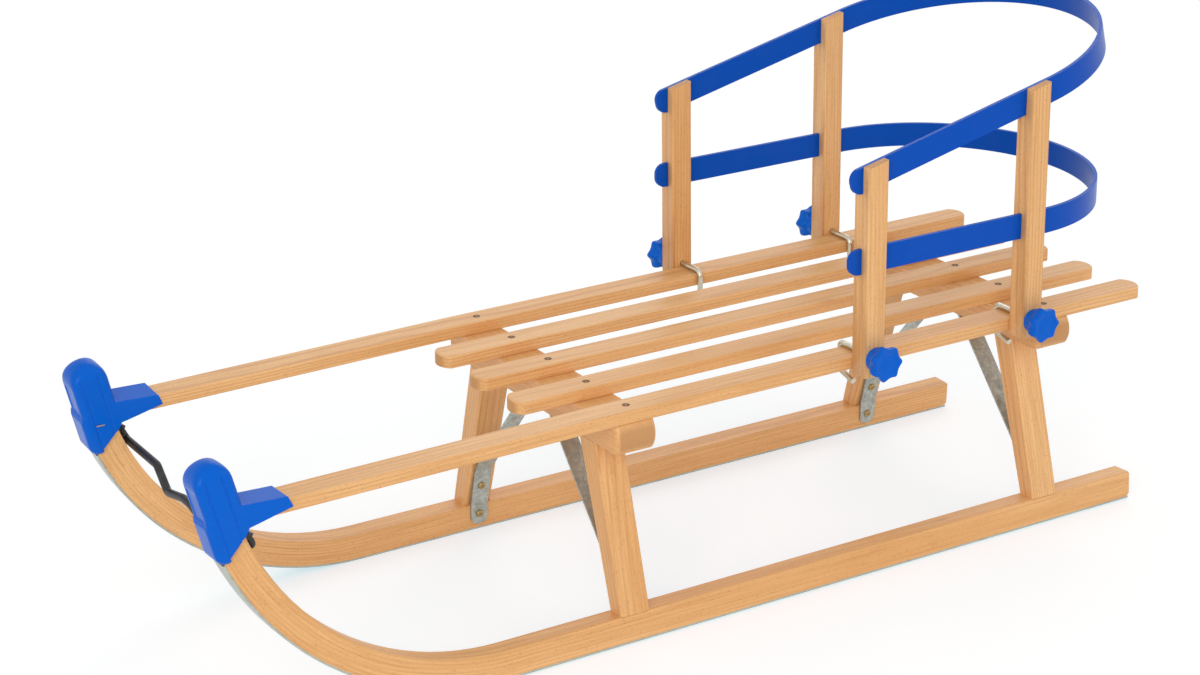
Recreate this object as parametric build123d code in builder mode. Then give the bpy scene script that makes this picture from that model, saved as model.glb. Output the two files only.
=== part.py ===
from build123d import *
from math import cos, degrees, radians, sin, sqrt, tan
import os

os.makedirs("parts", exist_ok=True)

# Davos sled with a clamped-on backrest, in millimetres.
# X runs across the sled, Y runs from the horns (negative) to the rear, Z up from the ground.
# The origin is on the ground, midway along the whole length.

# Sides: hand in the node's name, sign of X
sides = (("left", 1), ("right", -1))

# Runners: steam-bent beech on a steel shoe, leaning in at the top
half_track = 158.5
runner_lean = 3
runner_width = 25
runner_height = 28
runner_rear = 521.5
rear_chamfer = 4
bend_start = -247.5
bend_radius = 300
horn_bend = 71.7
shoe_width = 22
shoe_thickness = 2
shoe_clearance = 0.25
top_round = 3
sole_round = 1.5

# Seat slats; the two outer ones are the rails that run on to the horns
slat_width = 31
slat_thickness = 13
slat_pitch = 73
slat_end_radius = 19
slat_round = 2
inner_slats = 3
seat_rear = 533.5
inner_slat_length = 721
rail_front = -496.5
rail_drop = 4.2

# Crossbeams under the slats
beam_centre = 153.5
beam_spacing = 511
beam_width = 45
beam_height = 29
beam_underside = 198
beam_overhang = 0.5
beam_bulge = 5
beam_corner = 6
beam_round = 1.5

# Splayed legs between runner and beam
leg_depth = 33
leg_forward = 5.5
leg_foot = 21.5
leg_head_inner = 94
leg_head = 29
leg_round = 2.5

# Flat steel braces from the runner's inner face to the beam's underside
brace_width = 20
brace_thickness = 2.5
brace_foot = 8
brace_knee = 75
brace_head = 26
brace_tab = 18
brace_bend = 4
brace_end_round = 9

# Moulded horn caps, measured in the leaning plane of their runner
cap_width = 35
cap_depth = 36.5
cap_tilt = 13.5
cap_rise = 53
cap_set_back = 2.5
cap_edge = 6
crown_radius = 13
cap_proud = 2.4
cap_ledge = 32
cap_ledge_slope = 5
cap_lip = 23
cap_lip_depth = 8
cap_toe = 10
cap_mouth_front = 17.5
cap_clearance = 0.3
panel_width = 20
panel_depth = 0.8
panel_top = 2
groove_width = 2
groove_depth = 1
# Grooves down the flanks: distance behind the cap's axis, height of the top above the dome's centre
grooves = ((-8.5, 5), (7.5, 7))
arm_grip = 34.5
arm_wall = 1.9
arm_rise = 2
arm_tip_slant = 4.5
arm_tip_depth = 10.5
arm_root_depth = 24
arm_floor = 17
arm_round = 1.2

# Tow bar: round bar whose ends turn up the horns' rear faces and are flattened there
bar_diameter = 8
bar_horn_bend = 65.9
bar_rise = 19
spade_width = 12
spade_length = 9
spade_thickness = 3.5
spade_round = 4
spade_clearance = 0.15
bar_flattening = 6
bar_tongue_overlap = 3
bar_tongue_width = 10
bar_tongue_thickness = 3
bar_shoulder = 69
bar_dip = 46
bar_dip_drop = 20
bar_level = 8
bar_centre_drop = 12
bar_bend = 6.5

# Backrest posts beside the rails
post_width = 23
post_depth = 24
post_gap = 0.3
post_foot = 224
post_front_y = 162.5
post_spacing = 199.3
post_chamfer = 2

# Backrest hoops: bent strips let into the posts
hoop_thickness = 4
hoop_height = 26
lower_hoop_overhang = 15
upper_hoop_overhang = 10.5
hoop_end_round = 11
lower_hoop_z = 330
lower_hoop_centre = 377
upper_hoop_z = 412.5
upper_hoop_centre = 382
upper_hoop_slope = 13.2
hoop_bow = 164
slot_clearance = 0.2

# Hook bolts that clasp the rails, drawn up by star knobs
hook_diameter = 6
hook_gap = 0.3
hook_drop = 29
hook_return = 23
hook_return_drop = 6
hook_bend = 6
hook_grip = 14
hook_hole_clearance = 0.2
hub_diameter = 24
hub_length = 8.7
knob_gap = 0.2
knob_length = 13
knob_lobes = 7
lobe_circle = 13.5
lobe_radius = 5.5
valley_radius = 15.5
valley_round = 2
knob_round = 2
bore_clearance = 0.1

# Places worked out from the sizes
lean = radians(runner_lean)
sole_lift = shoe_width / 2 * sin(lean)
wood_sole = shoe_thickness
runner_top = wood_sole + runner_height
bend_centre_z = wood_sole + bend_radius
beam_top = beam_underside + beam_height
seat_top = beam_top + slat_thickness
rail_x = slat_pitch * (inner_slats + 1) / 2
rail_outer = rail_x + slat_width / 2
rail_inner = rail_x - slat_width / 2
beam_rows = (("front", beam_centre - beam_spacing / 2), ("rear", beam_centre + beam_spacing / 2))
rail_bend_y = beam_rows[0][1] - beam_width / 2
post_rows = (("front", post_front_y), ("rear", post_front_y + post_spacing))
post_inner = rail_outer + post_gap
post_x = post_inner + post_width / 2
hook_z = seat_top + hook_diameter / 2 + hook_gap
hook_x = rail_inner - hook_diameter / 2 - hook_gap
shoe_bend = horn_bend - degrees((cap_lip + shoe_clearance) / bend_radius)


def runner_plane(side):
    """Leaning plane through the middle of a runner: local X rearward, local Y up."""
    return Plane(
        origin=(side * half_track, 0, sole_lift),
        x_dir=(0, 1, 0),
        z_dir=(cos(lean), 0, side * sin(lean)),
    )


def cross_plane(side, y):
    """Upright plane across the sled at y: local X outward on that side, local Y up."""
    return Plane(origin=(0, y, 0), x_dir=(side, 0, 0), z_dir=(0, -side, 0))


def runner_section(side):
    """Plane across a runner at its rear end: local X across, local Y up, on the wood's sole."""
    leaning = runner_plane(side)
    return Plane(
        origin=leaning.from_local_coords((runner_rear, wood_sole, 0)),
        x_dir=leaning.z_dir,
        z_dir=(0, -1, 0),
    )


def sole_line(side, bend):
    """Path of the wood's sole from the rear end round the bend by so many degrees."""
    with BuildLine(runner_plane(side)) as path:
        straight = Line((runner_rear, wood_sole), (bend_start, wood_sole))
        JernArc(straight @ 1, (-1, 0), bend_radius, -bend)
    return path.line


# Runners
for hand, side in sides:
    with BuildPart() as runner:
        with BuildSketch(runner_section(side)) as section:
            Rectangle(runner_width, runner_height, align=(Align.CENTER, Align.MIN))
            fillet(section.vertices().sort_by(Axis.Z)[2:], top_round)
            fillet(section.vertices().sort_by(Axis.Z)[:2], sole_round)
        sweep(path=sole_line(side, horn_bend))
        with BuildSketch(runner_plane(side)):
            with BuildLine():
                Polyline(
                    (runner_rear - rear_chamfer, wood_sole),
                    (runner_rear, wood_sole + rear_chamfer),
                    (runner_rear, wood_sole),
                    close=True,
                )
            make_face()
        extrude(amount=runner_width, both=True, mode=Mode.SUBTRACT)
    runner.part.label = f"runner_{hand}"
    export_step(runner.part, f"parts/runner_{hand}.step")

# Steel shoes under the runners
for hand, side in sides:
    with BuildPart() as shoe:
        with BuildSketch(runner_section(side)):
            Rectangle(shoe_width, shoe_thickness, align=(Align.CENTER, Align.MAX))
        sweep(path=sole_line(side, shoe_bend))
    shoe.part.label = f"runner_shoe_{hand}"
    export_step(shoe.part, f"parts/runner_shoe_{hand}.step")


def slat_outline(plane, x, length):
    """Plan outline of a slat that ends at the seat's rear, both ends bowed."""
    bow = slat_end_radius - sqrt(slat_end_radius**2 - (slat_width / 2) ** 2)
    shoulder_rear = seat_rear - bow
    shoulder_front = seat_rear - length + bow
    with BuildSketch(plane) as outline:
        with BuildLine():
            near = Line((x + slat_width / 2, shoulder_front), (x + slat_width / 2, shoulder_rear))
            ThreePointArc(near @ 1, (x, seat_rear), (x - slat_width / 2, shoulder_rear))
            Line((x - slat_width / 2, shoulder_rear), (x - slat_width / 2, shoulder_front))
            ThreePointArc(
                (x - slat_width / 2, shoulder_front), (x, seat_rear - length), near @ 0
            )
        make_face()
    return outline.sketch


# Inner seat slats
for number in range(inner_slats):
    slat_x = (number - (inner_slats - 1) / 2) * slat_pitch
    with BuildPart() as slat:
        extrude(
            slat_outline(Plane.XY.offset(beam_top), slat_x, inner_slat_length),
            amount=slat_thickness,
        )
        fillet(slat.faces().sort_by(Axis.Z)[-1].edges(), slat_round)
        fillet(slat.faces().sort_by(Axis.Z)[0].edges(), slat_round / 2)
    slat.part.label = f"slat_{number + 1}"
    export_step(slat.part, f"parts/slat_{number + 1}.step")


def rail_dip(y):
    """How far a rail lies below the seat's level at y, forward of the front beam."""
    return (rail_bend_y - y) * rail_drop / (rail_bend_y - rail_front)


def rail_profile(plane, grow, front, back):
    """Side outline of a rail, grown above and below, which dips forward of the front beam."""
    with BuildSketch(plane) as outline:
        with BuildLine():
            Polyline(
                (back, beam_top - grow),
                (rail_bend_y, beam_top - grow),
                (front, beam_top - grow - rail_dip(front)),
                (front, seat_top + grow - rail_dip(front)),
                (rail_bend_y, seat_top + grow),
                (back, seat_top + grow),
                close=True,
            )
        make_face()
    return outline.sketch


# Outer rails
for hand, side in sides:
    with BuildPart() as rail:
        extrude(
            rail_profile(Plane.YZ.offset(side * rail_x), 0, rail_front, seat_rear),
            amount=slat_width / 2,
            both=True,
        )
        extrude(
            slat_outline(Plane.XY, side * rail_x, 2 * (seat_rear - rail_front)),
            amount=2 * seat_top,
            mode=Mode.INTERSECT,
        )
        upper = rail.faces().filter_by(lambda face: face.normal_at().Z > 0.9)
        fillet(upper.edges().filter_by(Axis.X, reverse=True), slat_round)
        lower = rail.faces().filter_by(lambda face: face.normal_at().Z < -0.9)
        fillet(lower.edges().filter_by(Axis.X, reverse=True), slat_round / 2)
    rail.part.label = f"rail_{hand}"
    export_step(rail.part, f"parts/rail_{hand}.step")

# Crossbeams with bowed ends
for row, beam_y in beam_rows:
    with BuildPart() as beam:
        with BuildSketch(cross_plane(1, beam_y)):
            end = rail_outer + beam_overhang
            middle = beam_underside + beam_height / 2
            with BuildLine():
                Line((-end, beam_underside), (end, beam_underside))
                ThreePointArc((end, beam_underside), (end + beam_bulge, middle), (end, beam_top))
                Line((end, beam_top), (-end, beam_top))
                ThreePointArc((-end, beam_top), (-end - beam_bulge, middle), (-end, beam_underside))
            make_face()
        extrude(amount=beam_width / 2, both=True)
        fillet(beam.edges().filter_by(GeomType.CIRCLE), beam_corner)
        fillet(beam.edges().filter_by(Axis.X), beam_round)
    beam.part.label = f"beam_{row}"
    export_step(beam.part, f"parts/beam_{row}.step")


def leg_inner_x(height):
    """Distance of a leg's inner face from the middle of the sled, at a height."""
    foot = runner_plane(1).from_local_coords((0, runner_top, runner_width / 2 - leg_foot))
    share = (height - foot.Z) / (beam_underside - foot.Z)
    return foot.X + share * (leg_head_inner - foot.X)


# Splayed legs, outer face flush with the runner at the foot
for row, beam_y in beam_rows:
    for hand, side in sides:
        leg_y = beam_y - leg_forward
        outer = runner_plane(1).from_local_coords((0, runner_top, runner_width / 2))
        inner = runner_plane(1).from_local_coords((0, runner_top, runner_width / 2 - leg_foot))
        with BuildPart() as leg:
            with BuildSketch(cross_plane(side, leg_y)):
                with BuildLine():
                    Polyline(
                        (inner.X, inner.Z),
                        (outer.X, outer.Z),
                        (leg_head_inner + leg_head, beam_underside),
                        (leg_head_inner, beam_underside),
                        close=True,
                    )
                make_face()
            extrude(amount=leg_depth / 2, both=True)
            fillet(leg.edges().filter_by(lambda edge: edge.length > 2 * leg_depth), leg_round)
        leg.part.label = f"leg_{row}_{hand}"
        export_step(leg.part, f"parts/leg_{row}_{hand}.step")

# Braces: up the runner's inner face, on to the leg, then across to the beam
for row, beam_y in beam_rows:
    for hand, side in sides:
        face = runner_plane(1)
        foot = face.from_local_coords((0, brace_foot, -runner_width / 2))
        crest = face.from_local_coords((0, runner_top + brace_bend, -runner_width / 2))
        with BuildPart() as brace:
            with BuildSketch(cross_plane(side, beam_y - leg_forward)):
                with BuildLine() as strap:
                    FilletPolyline(
                        (foot.X, foot.Z),
                        (crest.X, crest.Z),
                        (leg_inner_x(brace_knee), brace_knee),
                        (brace_head, beam_underside),
                        (brace_head - brace_tab, beam_underside),
                        radius=brace_bend,
                    )
                    offset(amount=brace_thickness, side=Side.LEFT, mode=Mode.ADD)
                make_face()
            extrude(amount=brace_width / 2, both=True)
            ends = brace.edges().filter_by(lambda edge: abs(edge.length - brace_thickness) < 0.01)
            fillet(ends.sort_by(Axis.Z)[:2], brace_end_round)
            fillet(ends.sort_by(Axis.Z)[2:], brace_end_round)
        brace.part.label = f"brace_{row}_{hand}"
        export_step(brace.part, f"parts/brace_{row}_{hand}.step")


def horn_point(radius, bend):
    """Point on the horn in its runner's plane: radius from the bend's centre, degrees round."""
    turn = radians(bend)
    return (bend_start - radius * sin(turn), bend_centre_z - radius * cos(turn))


def cap_plane(side):
    """Plane of a horn cap, in its runner's plane: origin at the dome's centre, local Y up its axis."""
    leaning = runner_plane(side)
    tilt = radians(cap_tilt)
    tip_y, tip_z = horn_point(bend_radius - runner_height / 2, horn_bend)
    dome_y = tip_y - cap_rise * sin(tilt) + cap_set_back * cos(tilt)
    dome_z = tip_z + cap_rise * cos(tilt) + cap_set_back * sin(tilt)
    return Plane(
        origin=leaning.from_local_coords((dome_y, dome_z, 0)),
        x_dir=leaning.x_dir * cos(tilt) + leaning.y_dir * sin(tilt),
        z_dir=leaning.z_dir,
    )


# Horn caps: domed block over the horn, and an arm that takes the rail's front end
for hand, side in sides:
    leaning = runner_plane(side)
    upright = cap_plane(side)
    axis_up = Axis(upright.origin, upright.y_dir)
    axis_back = Axis(upright.origin, upright.x_dir)
    back = cap_depth / 2
    toe = -cap_rise - cap_lip

    # arm, its sides in line with the block's
    arm_tip_y = rail_front + arm_grip
    arm_root_y = rail_front - cap_depth / 2
    ridge_z = seat_top - rail_dip(arm_tip_y) + arm_wall
    with BuildPart() as arm:
        with BuildSketch(leaning):
            with BuildLine():
                Polyline(
                    (arm_root_y, ridge_z + arm_rise),
                    (arm_tip_y, ridge_z),
                    (arm_tip_y + arm_tip_slant, ridge_z - arm_tip_depth),
                    (arm_root_y, ridge_z - arm_root_depth),
                    close=True,
                )
            make_face()
        extrude(amount=cap_width / 2, both=True)
        fillet(arm.faces().sort_by(Axis.Z)[-1].edges(), arm_round)

    # lower front, a little proud of the panel above its ledge
    with BuildPart() as shroud:
        with BuildSketch(upright):
            with BuildLine():
                Polyline(
                    (-cap_lip_depth, toe),
                    (-cap_lip_depth, -cap_ledge),
                    (-back, -cap_ledge),
                    (-back - cap_proud, -cap_ledge - cap_ledge_slope),
                    (-back - cap_proud, toe + cap_toe),
                )
                TangentArc(
                    (-back - cap_proud, toe + cap_toe),
                    (-back - cap_proud + cap_toe, toe),
                    tangent=(0, -1),
                )
                Line((-back - cap_proud + cap_toe, toe), (-cap_lip_depth, toe))
            make_face()
        extrude(amount=cap_width / 2, both=True)
        fillet(shroud.edges().filter_by(axis_up).group_by(axis_back)[0], cap_edge)

    with BuildPart() as cap:
        with BuildSketch(upright):
            with BuildLine():
                Polyline(
                    (back, 0),
                    (back, -cap_rise),
                    (-cap_lip_depth, -cap_rise - cap_mouth_front),
                    (-back, -cap_rise - cap_mouth_front),
                    (-back, 0),
                )
                ThreePointArc((-back, 0), (0, back), (back, 0))
            make_face()
        extrude(amount=cap_width / 2, both=True)
        flanks = cap.faces().filter_by(upright).edges()
        long_lines = flanks.filter_by(axis_up).sort_by(SortBy.LENGTH)[-4:]
        fillet(long_lines + flanks.filter_by(GeomType.CIRCLE), cap_edge)
        # the dome is rounded across the sled as well
        front_view = Plane(origin=upright.origin, x_dir=upright.z_dir, z_dir=-upright.x_dir)
        with BuildSketch(front_view) as crown:
            with Locations((0, back)):
                Rectangle(cap_width, 2 * cap_rise + cap_width, align=(Align.CENTER, Align.MAX))
            fillet(crown.vertices().sort_by(axis_up)[-2:], crown_radius)
        extrude(amount=cap_depth, both=True, mode=Mode.INTERSECT)
        add(shroud.part)
        add(arm.part)

        # sunk panel down the front, and two grooves down each flank
        with BuildSketch(upright):
            with Locations((-back, -panel_top)):
                Rectangle(2 * panel_depth, cap_ledge - panel_top, align=(Align.CENTER, Align.MAX))
        extrude(amount=panel_width / 2, both=True, mode=Mode.SUBTRACT)
        for flank in (-1, 1):
            with BuildSketch(upright.offset(flank * (cap_width / 2 - groove_depth))):
                for groove_offset, groove_top in grooves:
                    with Locations((groove_offset, groove_top)):
                        Rectangle(groove_width, 2 * cap_rise, align=(Align.CENTER, Align.MAX))
            extrude(amount=flank * groove_depth, mode=Mode.SUBTRACT)

        # room for the horn
        with BuildSketch(runner_section(side)):
            with Locations((0, runner_height / 2)):
                Rectangle(runner_width + 2 * cap_clearance, runner_height + 2 * cap_clearance)
        sweep(
            path=sole_line(side, horn_bend + degrees(cap_clearance / bend_radius)),
            mode=Mode.SUBTRACT,
        )

        # room for the rail, closed below only near the block
        room = rail_profile(
            Plane.YZ.offset(side * rail_x),
            cap_clearance,
            rail_front - cap_clearance,
            seat_rear,
        )
        extrude(room, amount=slat_width / 2 + cap_clearance, both=True, mode=Mode.SUBTRACT)
        with BuildSketch(Plane.YZ.offset(side * rail_x)):
            with Locations((rail_front + arm_floor, beam_top)):
                Rectangle(arm_grip, arm_root_depth, align=(Align.MIN, Align.MAX))
        extrude(amount=slat_width / 2 + cap_clearance, both=True, mode=Mode.SUBTRACT)
    cap.part.label = f"horn_cap_{hand}"
    export_step(cap.part, f"parts/horn_cap_{hand}.step")


# Tow bar: half of it, from the flattened end on the left horn to the middle, then mirrored
inner_radius = bend_radius - runner_height
sag = inner_radius - sqrt(inner_radius**2 - (bar_rise / 2) ** 2)
grip_bend = bar_horn_bend + degrees(bar_rise / 2 / inner_radius)
leaning = runner_plane(1)
grip = Plane(
    origin=leaning.from_local_coords((*horn_point(inner_radius - sag - spade_clearance, grip_bend), 0)),
    x_dir=leaning.z_dir,
    z_dir=leaning.x_dir * sin(radians(grip_bend)) + leaning.y_dir * cos(radians(grip_bend)),
)
tongue_y = spade_length - bar_tongue_overlap - bar_rise / 2
tongue = grip.from_local_coords((0, tongue_y, spade_thickness / 2))
root = grip.from_local_coords((0, tongue_y + bar_flattening, bar_diameter / 2))
turn = grip.from_local_coords((0, bar_rise / 2, bar_diameter / 2))
with BuildPart() as tow_bar:
    with BuildSketch(grip):
        with Locations((0, (spade_length - bar_rise) / 2)):
            RectangleRounded(spade_width, spade_length, spade_round)
    extrude(amount=spade_thickness)
    with BuildSketch(Plane(origin=tongue, x_dir=grip.x_dir, z_dir=grip.y_dir)):
        Ellipse(bar_tongue_width / 2, bar_tongue_thickness / 2)
    with BuildSketch(Plane(origin=root, x_dir=grip.x_dir, z_dir=grip.y_dir)):
        Circle(bar_diameter / 2)
    loft()
    with BuildLine() as half_bar:
        FilletPolyline(
            root,
            turn,
            (bar_shoulder, turn.Y, turn.Z),
            (bar_dip, turn.Y, turn.Z - bar_dip_drop),
            (bar_level, turn.Y, turn.Z - bar_centre_drop),
            (0, turn.Y, turn.Z - bar_centre_drop),
            radius=bar_bend,
        )
    with BuildSketch(Plane(origin=root, x_dir=grip.x_dir, z_dir=grip.y_dir)):
        Circle(bar_diameter / 2)
    sweep(path=half_bar.line)
    mirror(about=Plane.YZ)
tow_bar.part.label = "tow_bar"
export_step(tow_bar.part, "parts/tow_bar.step")


# Hoops: name, height of the lower edge at the front posts' front face, slope, overhang in front
# of the posts, back's centre
hoops = (
    ("lower", lower_hoop_z, 0, lower_hoop_overhang, lower_hoop_centre),
    ("upper", upper_hoop_z, upper_hoop_slope, upper_hoop_overhang, upper_hoop_centre),
)


def hoop_plane(height, slope):
    """Plane of a hoop's lower edge, rising rearward by the slope: local Y along the hoop."""
    pitch = radians(slope)
    front_y = post_front_y - post_depth / 2
    return Plane(
        origin=(0, 0, height - front_y * tan(pitch)),
        x_dir=(1, 0, 0),
        z_dir=(0, -sin(pitch), cos(pitch)),
    )


for hoop_name, hoop_z, slope, overhang, centre in hoops:
    along = cos(radians(slope))
    front_y = post_front_y - post_depth / 2 - overhang
    strip = hoop_plane(hoop_z, slope)
    front_end = front_y / along
    bow_start = centre / along
    strip_faces = ((hoop_thickness / 2, Mode.ADD), (-hoop_thickness / 2, Mode.SUBTRACT))
    with BuildPart() as hoop:
        with BuildSketch(strip):
            for grow, mode in strip_faces:
                half_span = post_x + grow
                with BuildLine():
                    Line((half_span, front_end), (half_span, bow_start))
                    EllipticalCenterArc((0, bow_start), half_span, hoop_bow + grow, arc_size=180)
                    Line((-half_span, bow_start), (-half_span, front_end))
                    Line((-half_span, front_end), (half_span, front_end))
                make_face(mode=mode)
        extrude(amount=hoop_height)
        fillet(hoop.edges().filter_by(Axis.X).sort_by(Axis.Y)[:4], hoop_end_round)
    hoop.part.label = f"hoop_{hoop_name}"
    export_step(hoop.part, f"parts/hoop_{hoop_name}.step")

# Posts: open slot at the top for the upper hoop, mortise for the lower, hole for the hook bolt
for row, post_y in post_rows:
    for hand, side in sides:
        upper = hoop_plane(upper_hoop_z, upper_hoop_slope)
        lower = hoop_plane(lower_hoop_z, 0)
        with BuildPart() as post:
            with BuildSketch(Plane.XY.offset(post_foot)):
                with Locations((side * post_x, post_y)):
                    Rectangle(post_width, post_depth)
            extrude(amount=2 * upper_hoop_z)
            split(bisect_by=upper.offset(hoop_height), keep=Keep.BOTTOM)
            edges = post.edges().filter_by(Axis.Z)
            fillet(edges, post_chamfer)
            with BuildSketch(upper.offset(-slot_clearance)):
                with Locations((side * post_x, post_y / cos(radians(upper_hoop_slope)))):
                    Rectangle(hoop_thickness + 2 * slot_clearance, 2 * post_depth)
            extrude(amount=2 * hoop_height, mode=Mode.SUBTRACT)
            with BuildSketch(lower.offset(-slot_clearance)):
                with Locations((side * post_x, post_y)):
                    Rectangle(hoop_thickness + 2 * slot_clearance, 2 * post_depth)
            extrude(amount=hoop_height + 2 * slot_clearance, mode=Mode.SUBTRACT)
            with BuildSketch(Plane.YZ.offset(side * post_x)):
                with Locations((post_y, hook_z)):
                    Circle(hook_diameter / 2 + hook_hole_clearance)
            extrude(amount=post_width, both=True, mode=Mode.SUBTRACT)
        post.part.label = f"post_{row}_{hand}"
        export_step(post.part, f"parts/post_{row}_{hand}.step")

# Hook bolts: through the post, over the rail, down inside it and back below it
for row, post_y in post_rows:
    for hand, side in sides:
        tail = post_inner + post_width + hook_grip
        with BuildPart() as hook:
            with BuildLine(cross_plane(side, post_y)) as wire:
                FilletPolyline(
                    (tail, hook_z),
                    (hook_x, hook_z),
                    (hook_x, hook_z - hook_drop),
                    (hook_x + hook_return, hook_z - hook_drop - hook_return_drop),
                    radius=hook_bend,
                )
            with BuildSketch(Plane(wire.line @ 0, z_dir=wire.line % 0)):
                Circle(hook_diameter / 2)
            sweep(path=wire.line)
        hook.part.label = f"hook_bolt_{row}_{hand}"
        export_step(hook.part, f"parts/hook_bolt_{row}_{hand}.step")

# Star knobs: hub against the post, lobed head, blind bore for the bolt's end
for row, post_y in post_rows:
    for hand, side in sides:
        base = Plane(
            origin=(side * (post_inner + post_width + knob_gap), post_y, hook_z),
            x_dir=(0, 1, 0),
            z_dir=(side, 0, 0),
        )
        with BuildPart() as knob:
            with BuildSketch(base.offset(hub_length)) as star:
                Circle(valley_radius)
                with PolarLocations(lobe_circle, knob_lobes):
                    Circle(lobe_radius)
            extrude(amount=knob_length)
            fillet(knob.edges().filter_by(Axis(base.origin, base.z_dir)), valley_round)
            fillet(knob.faces().sort_by(Axis(base.origin, base.z_dir))[-1].edges(), knob_round)
            with BuildSketch(base):
                Circle(hub_diameter / 2)
            extrude(amount=hub_length)
            with BuildSketch(base):
                Circle(hook_diameter / 2 + bore_clearance)
            extrude(amount=hook_grip, mode=Mode.SUBTRACT)
        knob.part.label = f"star_knob_{row}_{hand}"
        export_step(knob.part, f"parts/star_knob_{row}_{hand}.step")
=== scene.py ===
import math

import bmesh
import bpy
from bpy.props import FloatProperty, FloatVectorProperty, PointerProperty
from bpy.types import Operator, Panel, PropertyGroup
from mathutils import Matrix, Vector
from mathutils.bvhtree import BVHTree


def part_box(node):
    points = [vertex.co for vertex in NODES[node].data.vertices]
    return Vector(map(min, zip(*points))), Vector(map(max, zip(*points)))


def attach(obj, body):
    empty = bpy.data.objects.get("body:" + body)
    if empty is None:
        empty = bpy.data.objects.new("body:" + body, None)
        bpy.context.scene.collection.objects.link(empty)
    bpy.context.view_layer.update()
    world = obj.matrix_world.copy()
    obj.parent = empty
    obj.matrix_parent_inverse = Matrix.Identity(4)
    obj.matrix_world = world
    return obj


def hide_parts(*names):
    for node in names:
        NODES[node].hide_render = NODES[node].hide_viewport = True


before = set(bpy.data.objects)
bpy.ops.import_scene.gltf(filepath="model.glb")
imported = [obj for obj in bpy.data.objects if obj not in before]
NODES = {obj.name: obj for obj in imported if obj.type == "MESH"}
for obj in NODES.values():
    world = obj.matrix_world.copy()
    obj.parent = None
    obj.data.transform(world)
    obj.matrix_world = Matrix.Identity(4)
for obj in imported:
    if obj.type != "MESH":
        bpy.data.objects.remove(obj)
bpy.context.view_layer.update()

bl_info = {
    "name": "Davos sled finishes",
    "version": (1, 0, 0),
    "blender": (4, 5, 0),
    "location": "3D View > Sidebar > Davos Sled",
    "description": "Dresses a davos sled with its timber, mouldings, metalwork and small fasteners",
    "category": "Object",
}

SIDES = (("left", 1), ("right", -1))
ROWS = ("front", "rear")
SLATS = ("rail_left", "rail_right", "slat_1", "slat_2", "slat_3")

# linear colours
WHITE = (1.0, 1.0, 1.0)
BLACK = (0.0, 0.0, 0.0)
SCRATCHED_BLUE = (0.20, 0.36, 0.72)
TARNISH = (0.20, 0.185, 0.150)
DARK_SPECK = (0.10, 0.085, 0.065)
GRIME = (0.15, 0.140, 0.115)

# how far above a node a line starts that looks down on it
ABOVE = 0.05
# doubled vertices of a CAD node this close are joined
WELD = 1e-6
# edges of a piece that turn more than this stay sharp
SHARP = math.radians(34)


def names(pattern, rows=False):
    """Names of the CAD nodes that come left and right, and front and rear where rows is true."""
    if rows:
        return [pattern.format(row, hand) for row in ROWS for hand, _ in SIDES]
    return [pattern.format(hand) for hand, _ in SIDES]


# Sizes and colours


class SledSizes(PropertyGroup):
    """Sizes of the grain, the horn caps, the knobs and the small fasteners."""

    ring_pitch: FloatProperty(
        name="Ring pitch", description="Distance between the beech's growth rings",
        default=0.0042, min=0.001, unit="LENGTH",
    )
    bend_start: FloatProperty(
        name="Bend start", description="Where the runners leave the ground, along the sled",
        default=-0.2475, unit="LENGTH",
    )
    bend_radius: FloatProperty(
        name="Bend radius", description="Radius of the runners' bend at the sole",
        default=0.3, min=0.05, unit="LENGTH",
    )
    slat_screw: FloatProperty(
        name="Slat screw", description="Diameter of the countersunk screw heads in the slats",
        default=0.0078, min=0.002, unit="LENGTH",
    )
    strap_screw: FloatProperty(
        name="Strap screw", description="Diameter of the pan heads on the braces",
        default=0.0085, min=0.002, unit="LENGTH",
    )
    bar_bolt: FloatProperty(
        name="Bar bolt", description="Width across the flats of the tow bar's bolts",
        default=0.0065, min=0.002, unit="LENGTH",
    )
    runner_lean: FloatProperty(
        name="Runner lean", description="How far the runners lean in at the top",
        default=math.radians(3), unit="ROTATION",
    )
    half_track: FloatProperty(
        name="Half track", description="Distance of a runner's middle from the sled's middle",
        default=0.1585, min=0.05, unit="LENGTH",
    )
    horn_bend: FloatProperty(
        name="Horn bend", description="Angle through which the runners are bent up",
        default=math.radians(71.7), unit="ROTATION",
    )
    cap_tilt: FloatProperty(
        name="Cap tilt", description="How far the horn caps tilt forward",
        default=math.radians(13.5), unit="ROTATION",
    )
    cap_rise: FloatProperty(
        name="Cap rise", description="Height of a cap's dome above the horn's end",
        default=0.053, min=0.01, unit="LENGTH",
    )
    cap_set_back: FloatProperty(
        name="Cap set-back", description="Distance of a cap's axis behind the horn's end",
        default=0.0025, unit="LENGTH",
    )
    cap_width: FloatProperty(
        name="Cap width", description="Width of a horn cap across the sled",
        default=0.035, min=0.01, unit="LENGTH",
    )
    cap_depth: FloatProperty(
        name="Cap depth", description="Depth of a horn cap's dome along the sled",
        default=0.0365, min=0.01, unit="LENGTH",
    )
    cap_voxel: FloatProperty(
        name="Cap voxel", description="Size of the facets that soften the caps' edges",
        default=0.00062, min=0.0003, unit="LENGTH",
    )
    leg_splay: FloatProperty(
        name="Leg splay", description="How far a leg leans in over its height, as a share of it",
        default=0.30, min=0.0,
    )
    rebate_slope: FloatProperty(
        name="Rebate slope", description="Slope of the upper hoop, rising rearward",
        default=math.radians(13.2), unit="ROTATION",
    )
    knob_lobe: FloatProperty(
        name="Knob lobe", description="How far a star knob's lobes stand out",
        default=0.0031, min=0.0, unit="LENGTH",
    )


def colour(name, description, value):
    """A colour property with its written linear value."""
    return FloatVectorProperty(
        name=name, description=description, subtype="COLOR", size=3, min=0, max=1, default=value
    )


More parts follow.
